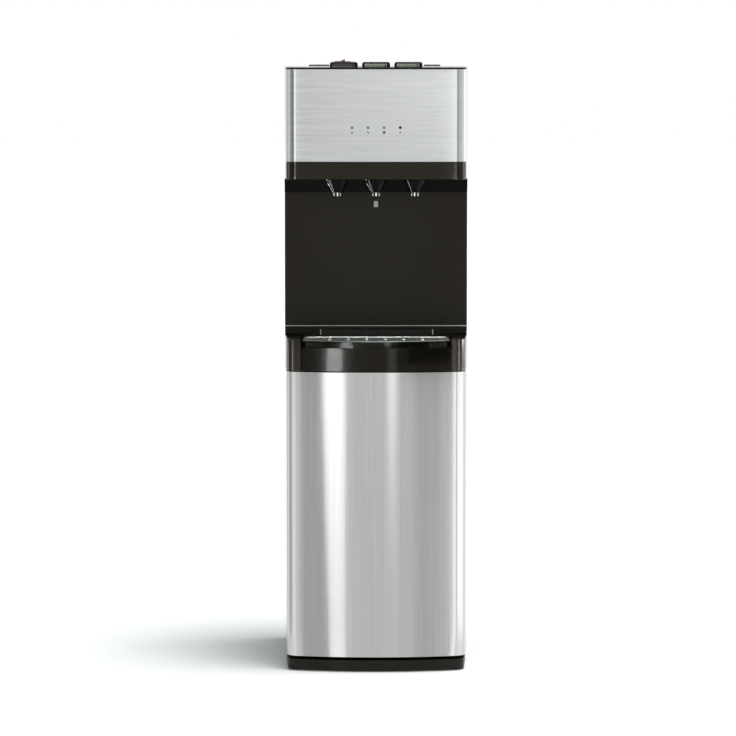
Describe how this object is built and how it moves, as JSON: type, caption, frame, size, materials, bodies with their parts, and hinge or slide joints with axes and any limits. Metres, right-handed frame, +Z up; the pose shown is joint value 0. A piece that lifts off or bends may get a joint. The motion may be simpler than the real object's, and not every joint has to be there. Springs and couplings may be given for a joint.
{
  "type": "bottleless water cooler",
  "caption": "Floor-standing bottleless water cooler with press buttons over hidden taps, a dispensing bay with drip tray, a bowed steel door over water filters and a rear condenser.",
  "frame": {"origin": "on the floor, under the middle of the overall box", "axes": "+Z up, the front faces -Y, +X to the right seen from the front"},
  "size_m": [0.316, 0.386, 1.0523],
  "materials": {
    "fascia_steel": "brushed across, fine grain",
    "door_steel": "brushed upright, fine grain",
    "gloss_black": "polished moulding",
    "satin_black": "fine moulded texture",
    "cover_black": "smooth moulding",
    "black_paint": "textured powder coat",
    "zinc_sheet": "galvanised sheet",
    "button_grey": "satin moulding",
    "lock_red": "satin moulding",
    "lens_green": "frosted light guide",
    "lens_red": "frosted light guide",
    "lens_white": "frosted light guide",
    "bright_ring": "polished",
    "grille_steel": "satin",
    "steel_pin": "turned",
    "white_plastic": "smooth moulding",
    "blue_plastic": "smooth moulding",
    "board_green": "printed board",
    "tank_steel": "dull drawn steel",
    "foam": "moulded beads",
    "black_rubber": "smooth",
    "compressor_black": "gloss black paint",
    "copper": "drawn copper",
    "magnet": "sintered",
    "hose_white": "smooth tube",
    "screw_steel": "zinc plated"
  },
  "bodies": {
    "cabinet": {"base": "satin_black", "foot_pads": "black_rubber", "left_side_panel": "black_paint", "right_side_panel": "black_paint", "rear_panel": "zinc_sheet", "compressor_guard": "zinc_sheet", "panel_screws": "screw_steel", "top_cover": "cover_black", "head_shell": "gloss_black", "head_fascia": "fascia_steel", "power_lenses": "lens_green", "heating_lens": "lens_red", "control_board": "board_green", "bay_panel": "satin_black", "night_light_lens": "lens_white", "ledge": "satin_black", "hinge_pins": "steel_pin", "filter_bay_panel": "white_plastic", "filter_manifold": "white_plastic", "shelves": "zinc_sheet", "cold_tank": "tank_steel", "cold_tank_foam": "foam", "hot_tank": "tank_steel", "hot_tank_jacket": "foam", "compressor": "compressor_black", "compressor_plate": "zinc_sheet", "compressor_grommets": "black_rubber", "relay_cover": "satin_black", "filter_drier": "copper", "refrigerant_pipes": "copper", "condenser_tube": "compressor_black", "condenser_wires": "compressor_black", "condenser_brackets": "zinc_sheet", "inlet_fitting": "white_plastic", "solenoid_valve": "white_plastic", "water_hoses": "hose_white", "drain_ports": "white_plastic", "cord_gland": "black_rubber", "switch_plate": "satin_black", "taps": "satin_black", "tap_spouts": "bright_ring"},
    "hot_press": {"hot_button": "button_grey", "hot_push_rod": "white_plastic"},
    "cold_press": {"cold_button": "button_grey", "cold_push_rod": "white_plastic"},
    "room_press": {"room_button": "button_grey", "room_push_rod": "white_plastic"},
    "child_lock": {"child_lock_slider": "lock_red"},
    "door": {"door_skin": "door_steel", "door_liner": "satin_black", "door_magnet": "magnet"},
    "tray": {"drip_tray": "gloss_black"},
    "grille": {"drip_grille": "grille_steel"},
    "sediment_cartridge": {"sediment_filter": "white_plastic"},
    "carbon_cartridge": {"carbon_filter": "blue_plastic"},
    "night_light_switch": {"night_light_rocker": "gloss_black"},
    "hot_switch": {"hot_rocker": "gloss_black"},
    "cold_switch": {"cold_rocker": "gloss_black"},
    "hot_cap": {"hot_drain_cap": "satin_black"},
    "cold_cap": {"cold_drain_cap": "satin_black"}
  },
  "joints": [
    {"name": "hot_button_press", "type": "slide", "parent": "cabinet", "child": "hot_press", "axis": [0, 0, -1], "range_m": [0, 0.005], "stiffness_N_per_m": 700, "springref_m": -0.002},
    {"name": "cold_button_press", "type": "slide", "parent": "cabinet", "child": "cold_press", "axis": [0, 0, -1], "range_m": [0, 0.005], "stiffness_N_per_m": 700, "springref_m": -0.002},
    {"name": "room_button_press", "type": "slide", "parent": "cabinet", "child": "room_press", "axis": [0, 0, -1], "range_m": [0, 0.005], "stiffness_N_per_m": 700, "springref_m": -0.002},
    {"name": "child_lock_slide", "type": "slide", "parent": "hot_press", "child": "child_lock", "axis": [1, 0, 0], "range_m": [0, 0.008]},
    {"name": "door_swing", "type": "hinge", "parent": "cabinet", "child": "door", "pos_m": [0.151, -0.0905, 0.2722], "axis": [0, 0, 1], "range_deg": [0, 100]},
    {"name": "tray_slide", "type": "slide", "parent": "cabinet", "child": "tray", "axis": [0, -1, 0], "range_m": [0, 0.095]},
    {"name": "grille_lift", "type": "slide", "parent": "tray", "child": "grille", "axis": [0, 0, 1], "range_m": [0, 0.05]},
    {"name": "sediment_twist", "type": "hinge", "parent": "cabinet", "child": "sediment_cartridge", "pos_m": [-0.0667, -0.05, 0.44], "axis": [0, 0, 1], "range_deg": [0, 90]},
    {"name": "carbon_twist", "type": "hinge", "parent": "cabinet", "child": "carbon_cartridge", "pos_m": [0.0667, -0.05, 0.44], "axis": [0, 0, 1], "range_deg": [0, 90]},
    {"name": "night_light_rock", "type": "hinge", "parent": "cabinet", "child": "night_light_switch", "pos_m": [0.051, 0.1685, 0.95], "axis": [1, 0, 0], "range_deg": [-16, 0]},
    {"name": "hot_rock", "type": "hinge", "parent": "cabinet", "child": "hot_switch", "pos_m": [0.078, 0.1685, 0.95], "axis": [1, 0, 0], "range_deg": [-16, 0]},
    {"name": "cold_rock", "type": "hinge", "parent": "cabinet", "child": "cold_switch", "pos_m": [0.105, 0.1685, 0.95], "axis": [1, 0, 0], "range_deg": [-16, 0]},
    {"name": "hot_cap_turn", "type": "hinge", "parent": "cabinet", "child": "hot_cap", "pos_m": [-0.0667, 0.18, 0.24], "axis": [0, 1, 0], "range_deg": [-540, 0]},
    {"name": "cold_cap_turn", "type": "hinge", "parent": "cabinet", "child": "cold_cap", "pos_m": [0.03, 0.18, 0.24], "axis": [0, 1, 0], "range_deg": [-540, 0]}
  ]
}
